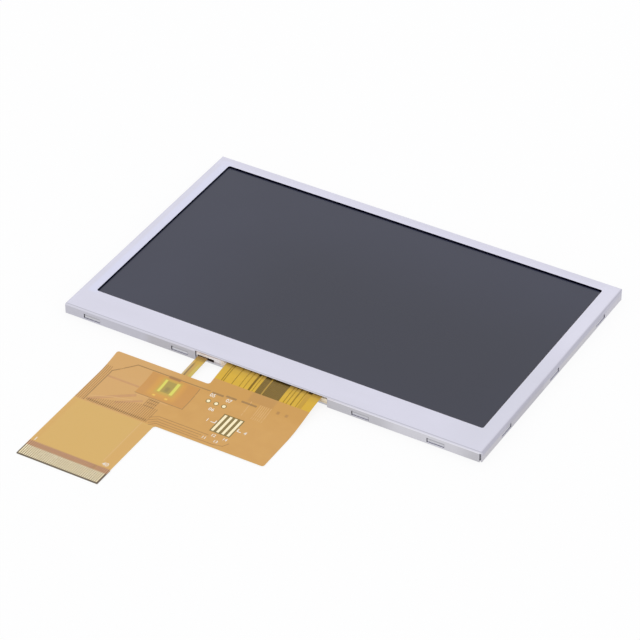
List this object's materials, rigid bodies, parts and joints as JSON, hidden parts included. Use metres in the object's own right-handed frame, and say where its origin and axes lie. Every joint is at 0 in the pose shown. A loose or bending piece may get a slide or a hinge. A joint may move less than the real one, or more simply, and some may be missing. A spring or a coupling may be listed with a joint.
{
  "type": "tft display module",
  "caption": "Flat colour display module: folded metal bezel over an LCD cell and edge-lit backlight, with an L-shaped flexible circuit whose stiffened tail plugs into a board connector.",
  "frame": {"origin": "middle of the module's rear face, not counting the flexible circuit", "axes": "+Z out of the screen, +X along the screen's length, the flexible circuit leaves towards -Y"},
  "size_m": [0.1054, 0.1138, 0.0029],
  "materials": {
    "bezel_metal": "satin zinc-coated sheet",
    "cover_metal": "satin sheet",
    "foam": "matt black foam tape",
    "screen": "hard-coated polarizer film, slight haze",
    "cell_glass": "clear cut glass",
    "polarizer_film": "dark film",
    "chip": "bare silicon",
    "optical_film": "pearly film",
    "clear_plastic": "clear acrylic",
    "white_plastic": "matt white",
    "lamp_film": "yellow coverlay film",
    "base_film": "yellow polyimide film",
    "coverlay_film": "tan polyimide coverlay",
    "copper": "dull plated copper",
    "gold": "pale gold plating",
    "stiffener_film": "brown polyimide stiffener",
    "solder": "reflowed solder",
    "tape_film": "amber tape",
    "lamp": "white body, yellow phosphor"
  },
  "bodies": {
    "root": {"front_bezel": "bezel_metal", "window_gasket": "foam", "upper_polarizer": "screen", "colour_filter_glass": "cell_glass", "array_glass": "cell_glass", "lower_polarizer": "polarizer_film", "driver_chip": "chip", "rim_tape": "foam", "upper_prism_film": "optical_film", "lower_prism_film": "optical_film", "diffuser_film": "optical_film", "light_guide": "clear_plastic", "reflector_film": "white_plastic", "lamp_flex": "lamp_film", "mould_frame": "white_plastic", "rear_cover": "cover_metal", "main_flex": "base_film", "strap_tracks": "copper", "coverlay": "coverlay_film", "contact_fingers": "gold", "touch_pads": "gold", "test_pads": "gold", "tail_stiffener": "stiffener_film", "solder_joints": "solder", "joint_tape": "tape_film", "led_1": "lamp", "led_2": "lamp", "led_3": "lamp", "led_4": "lamp", "led_5": "lamp", "led_6": "lamp", "led_7": "lamp", "led_8": "lamp"}
  },
  "joints": []
}
